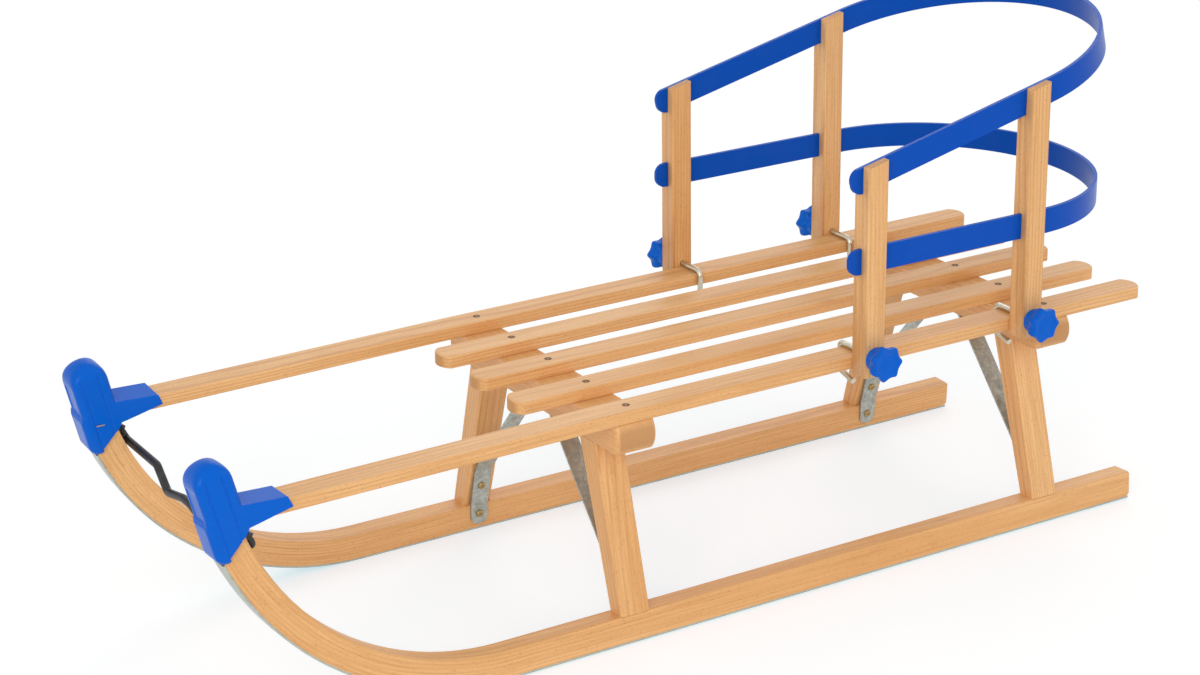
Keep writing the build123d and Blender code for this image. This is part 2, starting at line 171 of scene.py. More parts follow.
class SledColours(PropertyGroup):
    """Colours of the finishes, linear."""

    beech_pale: colour("Pale beech", "Early wood between the rings", (0.87, 0.515, 0.228))
    beech: colour("Beech", "Main tone of the lacquered beech", (0.775, 0.405, 0.150))
    beech_ring: colour("Beech ring", "Late wood in the rings", (0.59, 0.260, 0.080))
    beech_fleck: colour("Beech fleck", "Short ray flecks", (0.32, 0.115, 0.034))
    end_grain: colour("End grain", "Cut ends of the timber", (0.54, 0.270, 0.105))
    moulding: colour("Moulding blue", "Horn caps and star knobs", (0.0, 0.116, 0.60))
    strip: colour("Strip blue", "Coated hoops", (0.0, 0.076, 0.47))
    shoe: colour("Shoe steel", "Drawn steel strip under the runners", (0.50, 0.53, 0.475))
    strap: colour("Strap zinc", "Dull zinc of the braces", (0.47, 0.485, 0.44))
    rod: colour("Rod zinc", "Yellowish zinc of the hook bolts", (0.66, 0.62, 0.50))
    bar: colour("Bar black", "Coating of the tow bar", (0.012, 0.012, 0.014))
    screw: colour("Screw brown", "Browned screw heads", (0.150, 0.075, 0.034))
    strap_screw: colour("Strap screw brass", "Heads of the braces' screws", (0.44, 0.30, 0.12))
    bolt: colour("Bolt black", "Heads and washers of the tow bar's bolts", (0.045, 0.043, 0.042))
    staple: colour("Staple brass", "Staples in the horn caps", (0.62, 0.42, 0.17))
    floor: colour("Floor", "Pale studio floor, as it lights the sled", (0.93, 0.93, 0.93))
    floor_seen: colour(
        "Floor seen", "Part of the floor's tone that takes shadow", (0.80, 0.56, 0.46)
    )
    floor_glow: colour(
        "Floor glow", "Part of the floor's tone that is always there", (0.32, 0.53, 0.612)
    )


# Node trees


class Wire:
    """A node's output socket that takes part in Python arithmetic."""

    def __init__(self, finish, socket):
        self.finish = finish
        self.socket = socket

    def math(self, operation, *others):
        """Any other Math operation on this wire."""
        return self.finish.math(operation, self, *others)

    def __add__(self, other):
        return self.finish.math("ADD", self, other)

    def __radd__(self, other):
        return self.finish.math("ADD", other, self)

    def __sub__(self, other):
        return self.finish.math("SUBTRACT", self, other)

    def __rsub__(self, other):
        return self.finish.math("SUBTRACT", other, self)

    def __mul__(self, other):
        return self.finish.math("MULTIPLY", self, other)

    def __rmul__(self, other):
        return self.finish.math("MULTIPLY", other, self)

    def __pow__(self, other):
        return self.finish.math("POWER", self, other)

    def __rpow__(self, other):
        return self.finish.math("POWER", other, self)

    def __abs__(self):
        return self.finish.math("ABSOLUTE", self)


class Finish:
    """A material's node tree, with one Principled shader."""

    store = "materials"
    kinds = ("ShaderNodeBsdfPrincipled", "ShaderNodeOutputMaterial")

    def __init__(self, name):
        self.block = getattr(bpy.data, self.store).new(name)
        self.block.use_nodes = True
        self.tree = self.block.node_tree
        self.tree.nodes.clear()
        self.shader, self.output = (self.tree.nodes.new(kind) for kind in self.kinds)
        self.surface(Wire(self, self.shader.outputs[0]))

    def surface(self, wire):
        """Makes a shader's wire the one that is seen."""
        self.feed(self.output.inputs["Surface"], wire)

    def node(self, kind, settings=None, sockets=None, output=0):
        """Adds a node: its settings first, then the values or wires of its sockets."""
        node = self.tree.nodes.new(kind)
        for key, value in (settings or {}).items():
            setattr(node, key, value)
        for key, value in (sockets or {}).items():
            self.feed(self.find(node.inputs, key), value)
        return Wire(self, self.find(node.outputs, output))

    def find(self, sockets, key):
        """A socket by its number, identifier or name."""
        if isinstance(key, int):
            return sockets[key]
        return next((s for s in sockets if s.identifier == key), None) or sockets[key]

    def feed(self, socket, value):
        """Links a wire to a socket, or sets its value."""
        if isinstance(value, Wire):
            self.tree.links.new(value.socket, socket)
        elif hasattr(socket.default_value, "__len__") and len(socket.default_value) == 4:
            socket.default_value = (*value, 1)
        else:
            socket.default_value = value

    def math(self, operation, *values):
        """A Math node's result."""
        sockets = dict(zip(("Value", "Value_001", "Value_002"), values))
        return self.node("ShaderNodeMath", {"operation": operation}, sockets)

    def clamp(self, value, low, high):
        """A value carried from low..high to 0..1."""
        sockets = {"Value": value, "From Min": low, "From Max": high}
        return self.node("ShaderNodeMapRange", {"clamp": True}, sockets)

    def axes(self, output):
        """X, Y and Z of one of the texture coordinates."""
        coords = self.node("ShaderNodeTexCoord", output=output)
        parts = self.node("ShaderNodeSeparateXYZ", {}, {"Vector": coords})
        return [Wire(self, part) for part in parts.socket.node.outputs]

    def place(self):
        """X, Y and Z on the object, in metres."""
        return self.axes("Object")

    def facing(self):
        """X, Y and Z of the surface's normal on the object."""
        return self.axes("Normal")

    def noise(self, x, y, z, detail=3.0, roughness=0.55, distortion=0.0):
        """Noise between 0 and 1 at a point that is already scaled."""
        point = self.node("ShaderNodeCombineXYZ", {}, {"X": x, "Y": y, "Z": z})
        sockets = {
            "Vector": point, "Scale": 1.0, "Detail": detail, "Roughness": roughness,
            "Distortion": distortion,
        }
        return self.node("ShaderNodeTexNoise", {}, sockets, "Fac")

    def spots(self, place, scale, detail):
        """Noise with so many spots to the metre, the same in every direction."""
        return self.noise(*(axis * scale for axis in place), detail=detail)

    def mix(self, factor, first, second):
        """One colour turned into another."""
        sockets = {"Factor_Float": factor, "A_Color": first, "B_Color": second}
        return self.node("ShaderNodeMix", {"data_type": "RGBA"}, sockets, "Result_Color")

    def bump(self, height, distance, strength):
        """A normal from a height between 0 and 1 that stands for so many metres."""
        sockets = {"Height": height, "Distance": distance, "Strength": strength}
        return self.node("ShaderNodeBump", {}, sockets, "Normal")

    def shown(self):
        """1 where the eye, a reflection or glass looks, 0 for the light on the sled."""
        camera, glossy, through = (
            self.node("ShaderNodeLightPath", output=f"Is {kind} Ray")
            for kind in ("Camera", "Glossy", "Transmission")
        )
        return (camera + glossy + through).math("MINIMUM", 1.0)

    def shade(self, **sockets):
        """Feeds the shader, its sockets named with underscores for spaces."""
        for key, value in sockets.items():
            self.feed(self.shader.inputs[key.replace("_", " ")], value)
        return self.block


class Surround(Finish):
    """The world's node tree, with one background."""

    store = "worlds"
    kinds = ("ShaderNodeBackground", "ShaderNodeOutputWorld")


# Timber: each grain gives the places along it and across it twice, and how far a face is a cut end


def straight(along, side, depth):
    """Grain that runs along one axis: 0 is across the sled, 1 is along it and 2 is up."""

    def grain(finish):
        place, facing = finish.place(), finish.facing()
        return place[along], place[side], place[depth], abs(facing[along])

    return grain


crosswise, lengthwise, upright = straight(0, 1, 2), straight(1, 0, 2), straight(2, 0, 1)


def splayed(finish):
    """Grain that runs up a leg, which leans in at the top."""
    x, y, z = finish.place()
    _, _, up = finish.facing()
    return z, abs(x) + z * bpy.context.scene.sled_sizes.leg_splay, y, abs(up)


def bent(finish):
    """Grain that follows a runner round its bend."""
    sizes = bpy.context.scene.sled_sizes
    x, y, z = finish.place()
    _, along, _ = finish.facing()
    ahead = sizes.bend_start - y
    curved = ahead.math("MAXIMUM", 0.0)
    drop = sizes.bend_radius - z
    radius = (curved * curved + drop * drop).math("SQRT")
    turned = curved.math("ARCTAN2", drop)
    length = turned * sizes.bend_radius + ahead.math("MINIMUM", 0.0)
    # the front ends are in the caps, so a cut end shows only at the rear
    rear_cut = finish.clamp(abs(along), 0.85, 0.97) * finish.clamp(y, 0.4, 0.5)
    return length, x, radius, rear_cut


def beech(name, grain, shift, rings=0.62):
    """Lacquered beech: growth rings, long streaks, short flecks and darker cut ends."""
    sizes = bpy.context.scene.sled_sizes
    tints = bpy.context.scene.sled_colours
    finish = Finish(name)
    length, side, depth, cut = grain(finish)

    def drawn(along, across, *shifts, **look):
        """Noise with so many spots to the metre along the grain and across it."""
        run = sum(shifts, length * along)
        return finish.noise(run, side * across, depth * across, **look)

    # the board's own tone, then the wander of its rings along the length
    tone = drawn(2.2, 26, shift, detail=2.0)
    wander = drawn(4.0, 10, shift, detail=2.0)
    flow = drawn(1.2, 4, 7, shift, detail=1.0)
    # the rings are round the tree's heart, which lies beside and below the board
    heart_side, heart_depth = 0.055, 0.021
    ring_x = side + heart_side + flow * 0.05
    ring_z = depth * 1.25 + heart_depth + wander * 0.012
    ring_radius = (ring_x * ring_x + ring_z * ring_z).math("SQRT")
    ring = (ring_radius * (2 * math.pi / sizes.ring_pitch)).math("SINE") * 0.5 + 0.5
    late = ring ** 5.0
    streak = drawn(9, 420, shift, detail=4.0, roughness=0.65)
    fine = drawn(60, 2400, detail=2.0)
    fleck = finish.clamp(drawn(330, 1500, detail=1.0), 0.63, 0.73)
    stain = finish.clamp(drawn(14, 60, 3, shift, detail=2.0), 0.66, 0.82)
    pores = finish.clamp(drawn(900, 1900), 0.55, 0.7)
    cut_end = finish.clamp(cut, 0.8, 0.95)

    body = finish.mix(finish.clamp(tone, 0.3, 0.7), tints.beech, tints.beech_pale)
    body = finish.mix(finish.clamp(streak, 0.42, 0.76) * 0.62, body, tints.beech_ring)
    body = finish.mix(late * finish.clamp(flow, 0.32, 0.58) * rings, body, tints.beech_ring)
    body = finish.mix(fleck * 0.5, body, tints.beech_fleck)
    body = finish.mix(stain * 0.26, body, tints.beech_fleck)
    sawn = finish.mix(pores * 0.4, tints.end_grain, tints.beech_fleck)
    body = finish.mix(cut_end * 0.85, body, sawn)
    rough = 0.34 + streak * 0.12 + fleck * 0.10 + cut_end * 0.18
    relief = streak * 0.5 + fine * 0.35 - fleck * 0.3 + late * 0.2
    return finish.shade(
        Base_Color=body, Roughness=rough,
        Normal=finish.bump(relief, distance=0.00012, strength=0.6),
        Coat_Weight=0.07, Coat_Roughness=0.2, IOR=1.45, Specular_IOR_Level=0.38,
    )


# Plastics and metals


def moulded(name, tint, grain_size, roughness):
    """Moulded or coated plastic: faint orange peel, soft scuffs and a few fine scratches."""
    finish = Finish(name)
    place = finish.place()
    x, y, z = place
    peel = finish.spots(place, grain_size, detail=2.0)
    dull = finish.clamp(finish.spots(place, 24, detail=3.0), 0.5, 0.75)
    scratch_field = finish.noise(x * 90 + z * 700, y * 240, z * 55, detail=1.0, distortion=0.4)
    scratch = finish.clamp(scratch_field, 0.70, 0.74)
    paler = [min(1.0, c * 0.94 + 0.012) for c in tint]
    skin = finish.mix(dull * 0.3, tint, paler)
    skin = finish.mix(scratch * 0.05, skin, SCRATCHED_BLUE)
    return finish.shade(
        Base_Color=skin, Roughness=roughness + dull * 0.08 + scratch * 0.15,
        Normal=finish.bump(peel, distance=0.00004, strength=0.4),
        IOR=1.45, Specular_IOR_Level=0.12,
    )


def rolled_steel(name, tint, streak_scale, roughness, tarnish, metallic=0.9):
    """Drawn or rolled metal: streaks along its run, small dull patches and grime."""
    finish = Finish(name)
    place = finish.place()
    x, y, z = place
    streak = finish.noise(x * streak_scale, y * 14, z * 130, detail=4.0, roughness=0.7)
    patch = finish.spots(place, 120, detail=3.0)
    speck = finish.clamp(finish.spots(place, 900, detail=1.0), 0.66, 0.75)
    darker = [c * 0.62 for c in tint]
    skin = finish.mix(finish.clamp(streak, 0.35, 0.7) * 0.45, tint, darker)
    skin = finish.mix(finish.clamp(patch, 0.5, 0.7) * tarnish, skin, TARNISH)
    skin = finish.mix(speck * 0.35, skin, DARK_SPECK)
    return finish.shade(
        Base_Color=skin, Metallic=metallic, Roughness=roughness + streak * 0.14 + speck * 0.15,
        Normal=finish.bump(streak + patch * 0.5, distance=0.00006, strength=0.5),
    )


def spangled_zinc(name, tint):
    """Dull galvanised strap: crystals of slightly different grey."""
    finish = Finish(name)
    coords = finish.node("ShaderNodeTexCoord", output="Object")
    crystal = finish.node(
        "ShaderNodeTexVoronoi", {"feature": "F1"},
        {"Vector": coords, "Scale": 330.0, "Randomness": 1.0}, "Color",
    )
    grey = finish.node("ShaderNodeSeparateColor", {}, {"Color": crystal}, "Red")
    grime = finish.clamp(finish.spots(finish.place(), 70, detail=4.0), 0.48, 0.72)
    darker = [c * 0.66 for c in tint]
    skin = finish.mix(grey * 0.7, tint, darker)
    skin = finish.mix(grime * 0.4, skin, GRIME)
    return finish.shade(
        Base_Color=skin, Metallic=0.85, Roughness=0.36 + grey * 0.16 + grime * 0.14,
        Normal=finish.bump(grey, distance=0.00004, strength=0.4),
    )


def dress(nodes, material):
    """Gives CAD nodes their material."""
    for name in nodes:
        mesh = NODES[name].data
        mesh.materials.clear()
        mesh.materials.append(material)


# Mesh pieces


def surface_at(node, start, direction):
    """Where a line first meets a CAD node, and the normal there."""
    mesh = NODES[node].data
    tree = BVHTree.FromPolygons([v.co for v in mesh.vertices], [p.vertices for p in mesh.polygons])
    spot, normal, _, _ = tree.ray_cast(Vector(start), Vector(direction).normalized())
    if spot is None:
        raise RuntimeError(f"the line from {tuple(start)} misses {node}")
    return spot, normal


def standing(spot, normal, spin=0.0):
    """Matrix that puts local Z on a normal at a spot."""
    turn = normal.to_track_quat("Z", "Y").to_matrix().to_4x4()
    return Matrix.Translation(spot) @ turn @ Matrix.Rotation(spin, 4, "Z")


def wrap(bm, loops):
    """Joins vertex loops into one closed skin, with a face over each end."""
    count = len(loops[0])
    for lower, upper in zip(loops, loops[1:]):
        for index in range(count):
            after = (index + 1) % count
            bm.faces.new((lower[index], lower[after], upper[after], upper[index]))
    bm.faces.new(loops[-1])
    bm.faces.new(list(reversed(loops[0])))


def turned(bm, matrix, profile, segments, cut=None):
    """Adds a turned form through rings of (radius, height); cut gives how far a point drops."""
    loops = []
    for radius, height in profile:
        loop = []
        for index in range(segments):
            angle = 2 * math.pi * index / segments
            point = Vector((radius * math.cos(angle), radius * math.sin(angle), height))
            if cut:
                point.z -= cut(point.x, point.y)
            loop.append(bm.verts.new(matrix @ point))
        loops.append(loop)
    wrap(bm, loops)


def cross_head(bm, seat, radius, shares, rise, sunk, recess):
    """Adds a cross-head screw, whose rise is its height at each share of its radius."""
    half_slot, reach = radius * 0.17, radius * 0.62

    def cut(x, y):
        """Depth of two crossed slots, which taper out towards the rim."""
        longest, shortest = max(abs(x), abs(y)), min(abs(x), abs(y))
        return recess * (1 - longest / reach) if longest < reach and shortest < half_slot else 0.0

    crown = [(share * radius, rise(share)) for share in shares]
    turned(bm, seat, [(radius, -sunk)] + crown, segments=48, cut=cut)


def add_box(bm, place, middle, size):
    """Adds a box of a size round a middle that is given in a place's own axes."""
    box = bmesh.ops.create_cube(bm, size=1.0)
    matrix = place @ Matrix.Translation(middle) @ Matrix.Diagonal((*size, 1))
    bmesh.ops.transform(bm, matrix=matrix, verts=box["verts"])


def welded(node):
    """The bmesh of a CAD node, with its doubled vertices joined."""
    bm = bmesh.new()
    bm.from_mesh(NODES[node].data)
    bmesh.ops.remove_doubles(bm, verts=bm.verts[:], dist=WELD)
    return bm


def holder_of(name, bm):
    """An object in the scene that takes over a bmesh."""
    mesh = bpy.data.meshes.new(name)
    bm.to_mesh(mesh)
    bm.free()
    holder = bpy.data.objects.new(name, mesh)
    bpy.context.scene.collection.objects.link(holder)
    return holder


def piece(name, bm, material, body):
    """Turns a bmesh into a smooth piece that rides on a body."""
    bmesh.ops.recalc_face_normals(bm, faces=bm.faces[:])
    made = holder_of(name, bm)
    for polygon in made.data.polygons:
        polygon.use_smooth = True
    made.data.set_sharp_from_angle(angle=SHARP)
    made.data.materials.append(material)
    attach(made, body)
    return made


def applied(holder):
    """The bmesh of a helper object with its modifiers, which is then removed."""
    seen = holder.evaluated_get(bpy.context.evaluated_depsgraph_get())
    mesh = bpy.data.meshes.new_from_object(seen)
    bm = bmesh.new()
    bm.from_mesh(mesh)
    bpy.data.objects.remove(holder)
    bpy.data.meshes.remove(mesh)
    return bm


def carve(body, cutter):
    """Cuts one bmesh from another."""
    whole, tool = holder_of("carved", body), holder_of("cutter", cutter)
    cut = whole.modifiers.new("cut", "BOOLEAN")
    cut.operation = "DIFFERENCE"
    cut.solver = "EXACT"
    cut.object = tool
    bm = applied(whole)
    bpy.data.objects.remove(tool)
    return bm


def softened(bm, voxel, rounds):
    """Merges overlapping forms and rounds their edges."""
    holder = holder_of("softened", bm)
    merge = holder.modifiers.new("merge", "REMESH")
    merge.mode = "VOXEL"
    merge.voxel_size = voxel
    smooth = holder.modifiers.new("smooth", "SMOOTH")
    smooth.factor = 0.5
    smooth.iterations = rounds
    return applied(holder)


class SLED_OT_timber(Operator):
    """Finish the runners, slats, beams and legs in lacquered beech"""

    bl_idname = "sled.timber"
    bl_label = "Timber"

    def execute(self, context):
        dress(names("rail_{}"), beech("beech_rails", lengthwise, shift=0.0))
        dress(("slat_1", "slat_2", "slat_3"), beech("beech_slats", lengthwise, shift=5.3))
        # the beams show fainter rings
        beams = beech("beech_beams", crosswise, shift=2.1, rings=0.26)
        dress(("beam_front", "beam_rear"), beams)
        dress(names("leg_{}_{}", rows=True), beech("beech_legs", splayed, shift=8.4))
        dress(names("runner_{}"), beech("beech_runners", bent, shift=6.2))
        return {"FINISHED"}


class SLED_OT_hoops(Operator):
    """Finish the two hoops in their coated blue"""

    bl_idname = "sled.hoops"
    bl_label = "Hoops"

    def execute(self, context):
        tint = context.scene.sled_colours.strip
        strip = moulded("blue_strip", tint, grain_size=500, roughness=0.30)
        dress(("hoop_lower", "hoop_upper"), strip)
        return {"FINISHED"}


class SLED_OT_posts(Operator):
    """Open each post's top rebate towards the same side, as the four posts are cut alike"""

    bl_idname = "sled.posts"
    bl_label = "Posts"

    # the box that clears one side of a slot: across the sled, along it and up
    cutter_size = (0.03, 0.06, 0.06)
    # how far it goes below the slot's floor
    sunk = 0.00005

    def execute(self, context):
        slope = context.scene.sled_sizes.rebate_slope
        timber = beech("beech_posts", upright, shift=3.7)
        width, _, height = self.cutter_size
        offset = (-width / 2, 0, height / 2 - self.sunk)
        for name in names("post_{}_{}", rows=True):
            low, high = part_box(name)
            middle = (low + high) / 2
            # a line down the post's middle meets the slot's floor
            spot, _ = surface_at(name, (middle.x, middle.y, high.z + ABOVE), (0, 0, -1))
            cutter = bmesh.new()
            seat = Matrix.Translation(spot) @ Matrix.Rotation(slope, 4, "X")
            add_box(cutter, seat, offset, self.cutter_size)
            cut = carve(welded(name), cutter)
            made = piece(name.replace("post", "rebated_post"), cut, timber, "backrest")
            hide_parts(name)
        return {"FINISHED"}


class SLED_OT_horn_caps(Operator):
    """Model the moulded horn caps with full domes and soft edges"""

    bl_idname = "sled.horn_caps"
    bl_label = "Horn caps"

    # of the runners and shoes, as the solids have them
    half_runner = 0.014
    half_shoe = 0.011
    sole = 0.002
    # of each groove: its place along the sled and its top, from the dome's centre
    grooves = ((-0.0085, 0.005), (0.0075, 0.007))
    groove_width = 0.002
    groove_depth = 0.001
    groove_reach = 0.02
    # of the dome: how far its foot goes down into the cap and stands in from its sides
    foot_depth = 0.004
    foot_inset = 0.0004
    # radius of its rounded flanks, as a share of half its width
    flank_share = 0.86
    # power of its outline at the foot, where it is boxy, and what it loses to the top
    boxy, rounder = 6.5, 4.1
    steps, step_angle = 23, 4
    segments = 96
    # how far below the dome's centre the solid's own dome is cut off
    seam = 0.0002
    smoothing = 3

    def dome_frame(self, sizes, side):
        """Frame at the dome's centre: X rearward, Y up the cap's axis, Z across."""
        lean, tilt = sizes.runner_lean, sizes.cap_tilt
        across = Vector((math.cos(lean), 0, side * math.sin(lean)))
        rearward = Vector((0, 1, 0))
        up = across.cross(rearward)
        foot = Vector((side * sizes.half_track, 0, self.half_shoe * math.sin(lean)))
        reach = sizes.bend_radius - self.half_runner
        tip_y = sizes.bend_start - reach * math.sin(sizes.horn_bend)
        tip_z = self.sole + sizes.bend_radius - reach * math.cos(sizes.horn_bend)
        dome_y = tip_y - sizes.cap_rise * math.sin(tilt) + sizes.cap_set_back * math.cos(tilt)
        dome_z = tip_z + sizes.cap_rise * math.cos(tilt) + sizes.cap_set_back * math.sin(tilt)
        centre = foot + rearward * dome_y + up * dome_z
        back = rearward * math.cos(tilt) + up * math.sin(tilt)
        axis = across.cross(back)
        columns = (back, axis, across, centre)
        return Matrix([[column[row] for column in columns] for row in range(3)] + [[0, 0, 0, 1]])

    def dome(self, sizes, place):
        """Closed dome whose rings run from a boxy foot to an oval top."""
        half, back = sizes.cap_width / 2, sizes.cap_depth / 2
        flank = half * self.flank_share
        rings = [(-self.foot_depth, half - self.foot_inset, back - self.foot_inset, self.boxy)]
        for step in range(self.steps):
            angle = math.radians(self.step_angle * step)
            height = back * math.sin(angle)
            over = max(0.0, height - (back - flank))
            width = half - flank + math.sqrt(flank**2 - over**2)
            power = self.boxy - self.rounder * math.sin(angle)
            rings.append((height, width, back * math.cos(angle), power))
        bm = bmesh.new()
        loops = []
        for height, width, depth, power in rings:
            loop = []
            for index in range(self.segments):
                turn = 2 * math.pi * (index + 0.5) / self.segments
                cosine, sine = math.cos(turn), math.sin(turn)
                x = depth * math.copysign(abs(cosine) ** (2 / power), cosine)
                z = width * math.copysign(abs(sine) ** (2 / power), sine)
                loop.append(bm.verts.new(place @ Vector((x, height, z))))
            loops.append(loop)
        wrap(bm, loops)
        bmesh.ops.recalc_face_normals(bm, faces=bm.faces[:])
        return bm

    def groove_cutter(self, sizes, place):
        """Boxes that carry the flank grooves on into the dome."""
        half = self.groove_reach / 2
        out = sizes.cap_width / 2 + half - self.groove_depth
        size = (self.groove_width, self.groove_reach, self.groove_reach)
        bm = bmesh.new()
        for flank in (-1, 1):
            for offset, top in self.grooves:
                add_box(bm, place, (offset, top - half, flank * out), size)
        return bm

    def execute(self, context):
        sizes = context.scene.sled_sizes
        tint = context.scene.sled_colours.moulding
        blue = moulded("blue_moulding", tint, grain_size=700, roughness=0.21)
        for hand, side in SIDES:
            node = f"horn_cap_{hand}"
            place = self.dome_frame(sizes, side)
            up = place.to_3x3() @ Vector((0, 1, 0))
            lower = welded(node)
            geometry = lower.verts[:] + lower.edges[:] + lower.faces[:]
            cut = bmesh.ops.bisect_plane(
                lower, geom=geometry, plane_co=place.translation - up * self.seam, plane_no=up,
                clear_outer=True,
            )
            rim = [part for part in cut["geom_cut"] if isinstance(part, bmesh.types.BMEdge)]
            bmesh.ops.contextual_create(lower, geom=rim)
            dome = carve(self.dome(sizes, place), self.groove_cutter(sizes, place))
            joined = bpy.data.meshes.new("cap_parts")
            dome.to_mesh(joined)
            dome.free()
            lower.from_mesh(joined)
            soft = softened(lower, sizes.cap_voxel, self.smoothing)
            made = piece(f"moulded_{node}", soft, blue, "sled")
            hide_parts(node)
        return {"FINISHED"}


class SLED_OT_star_knobs(Operator):
    """Model the star knobs with pointed lobes, hollow sides and a rimmed face"""

    bl_idname = "sled.star_knobs"
    bl_label = "Star knobs"

    lobes = 7
    lobe_segments = 22
    # power that hollows the sides between the lobes
    hollow = 1.15
    # share of a lobe's height above which its point is blunted, what is left, and its full height
    blunt_from, blunt_share, full = 0.86, 0.35, 0.9
    hook_radius = 0.003
    # distance from the post, radius in the hollows, share of the lobe's height
    rings = (
        (0.0, 0.0112, 0.0), (0.0005, 0.0119, 0.0), (0.0020, 0.0120, 0.0), (0.0060, 0.0120, 0.0),
        (0.0082, 0.0123, 0.05), (0.0091, 0.0130, 0.25), (0.0102, 0.0139, 0.55),
        (0.0120, 0.0146, 0.82), (0.0145, 0.0152, 0.95), (0.0175, 0.0155, 1.0),
        (0.0195, 0.0154, 0.98), (0.0206, 0.0150, 0.90), (0.0213, 0.0143, 0.76),
        (0.0216, 0.0134, 0.60), (0.0216, 0.0126, 0.46), (0.0212, 0.0119, 0.34),
        (0.0206, 0.0112, 0.22), (0.0203, 0.0100, 0.08), (0.0203, 0.0070, 0.0),
        (0.0206, 0.0046, 0.0), (0.0207, 0.0020, 0.0),
    )

    def execute(self, context):
        height = context.scene.sled_sizes.knob_lobe
        tint = context.scene.sled_colours.moulding
        blue = moulded("knob_blue", tint, grain_size=900, roughness=0.24)
        segments = self.lobes * self.lobe_segments
        for node in names("star_knob_{}_{}", rows=True):
            low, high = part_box(node)
            side = 1 if high.x > 0 else -1
            # an odd number of lobes puts the box off the axis, which comes from the hook bolt
            bolt_low, bolt_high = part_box(node.replace("star_knob", "hook_bolt"))
            foot = Vector((
                low.x if side > 0 else high.x, (bolt_low.y + bolt_high.y) / 2,
                bolt_high.z - self.hook_radius,
            ))
            bm = bmesh.new()
            loops = []
            for reach, radius, share in self.rings:
                loop = []
                for index in range(segments):
                    turn = 2 * math.pi * index / segments
                    point = 1 - abs(math.sin(turn * self.lobes / 2)) ** self.hollow
                    if point > self.blunt_from:
                        point = self.blunt_from + (point - self.blunt_from) * self.blunt_share
                    out = radius + share * height * point / self.full
                    loop.append(bm.verts.new(foot + Vector((
                        side * reach, side * out * math.cos(turn), out * math.sin(turn)
                    ))))
                loops.append(loop)
            wrap(bm, loops)
            name = node.replace("star_knob", "lobed_knob")
            made = piece(name, bm, blue, "backrest")
            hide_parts(node)
        return {"FINISHED"}


class SLED_OT_metalwork(Operator):
    """Finish the shoes, braces, hook bolts and tow bar"""

    bl_idname = "sled.metalwork"
    bl_label = "Metalwork"

    def execute(self, context):
        tints = context.scene.sled_colours
        shoes = rolled_steel(
            "shoe_steel", tints.shoe, streak_scale=700, roughness=0.34, tarnish=0.25
        )
        hooks = rolled_steel(
            "rod_zinc", tints.rod, streak_scale=300, roughness=0.22, tarnish=0.18, metallic=1.0
        )
        bar = rolled_steel(
            "bar_black", tints.bar, streak_scale=200, roughness=0.36, tarnish=0.10, metallic=0.1
        )
        dress(names("runner_shoe_{}"), shoes)
        dress(names("brace_{}_{}", rows=True), spangled_zinc("strap_zinc", tints.strap))
        dress(names("hook_bolt_{}_{}", rows=True), hooks)
        dress(("tow_bar",), bar)
        return {"FINISHED"}


class SLED_OT_slat_screws(Operator):
    """Add a countersunk cross-head screw where each slat crosses each beam"""

    bl_idname = "sled.slat_screws"
    bl_label = "Slat screws"

    shares = (1.0, 0.98, 0.9, 0.72, 0.6, 0.5, 0.36, 0.26, 0.18, 0.1, 0.04)
    sunk, proud, crown = 0.0012, 0.0001, 0.00045
    recess = 0.0011
    # turn of the first head, and from each head to the next
    first_turn, turn = 0.5, 0.7

    def rise(self, share):
        """Height of a head over its slat, at a share of its radius."""
        return self.proud + self.crown * (1 - share * share)

    def execute(self, context):
        radius = context.scene.sled_sizes.slat_screw / 2
        browned = rolled_steel(
            "screw_brown", context.scene.sled_colours.screw,
            streak_scale=900, roughness=0.38, tarnish=0.4, metallic=0.7,
        )
        for row in ROWS:
            low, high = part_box(f"beam_{row}")
            bm = bmesh.new()
            for index, slat in enumerate(SLATS):
                slat_low, slat_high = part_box(slat)
                start = ((slat_low.x + slat_high.x) / 2, (low.y + high.y) / 2, slat_high.z + ABOVE)
                spot, normal = surface_at(slat, start, (0, 0, -1))
                seat = standing(spot, normal, self.first_turn + self.turn * index)
                cross_head(bm, seat, radius, self.shares, self.rise, self.sunk, self.recess)
            piece(f"slat_screws_{row}", bm, browned, "sled")
        return {"FINISHED"}


class SLED_OT_strap_screws(Operator):
    """Add the pan-head screws that hold each brace to its runner and leg"""

    bl_idname = "sled.strap_screws"
    bl_label = "Strap screws"

    # of the two screws in a brace's tab
    heights = (0.0195, 0.054)
    shares = (1.0, 0.93, 0.8, 0.6, 0.5, 0.36, 0.26, 0.18, 0.1, 0.04)
    sunk, rim, crown, fullness = 0.0006, 0.0005, 0.0021, 2.6
    recess = 0.0013
    first_turn = 0.3

    def rise(self, share):
        """Height of a head over its brace, at a share of its radius."""
        return self.rim + self.crown * math.sqrt(max(0.0, 1 - share**self.fullness))

    def execute(self, context):
        radius = context.scene.sled_sizes.strap_screw / 2
        plated = rolled_steel(
            "screw_brass", context.scene.sled_colours.strap_screw,
            streak_scale=900, roughness=0.3, tarnish=0.3, metallic=0.85,
        )
        for row in ROWS:
            bm = bmesh.new()
            for hand, side in SIDES:
                strap = f"brace_{row}_{hand}"
                low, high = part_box(strap)
                for index, height in enumerate(self.heights):
                    start = (0, (low.y + high.y) / 2, height)
                    spot, normal = surface_at(strap, start, (side, 0, 0))
                    seat = standing(spot, normal, self.first_turn + index + side)
                    cross_head(bm, seat, radius, self.shares, self.rise, self.sunk, self.recess)
            piece(f"strap_screws_{row}", bm, plated, "sled")
        return {"FINISHED"}


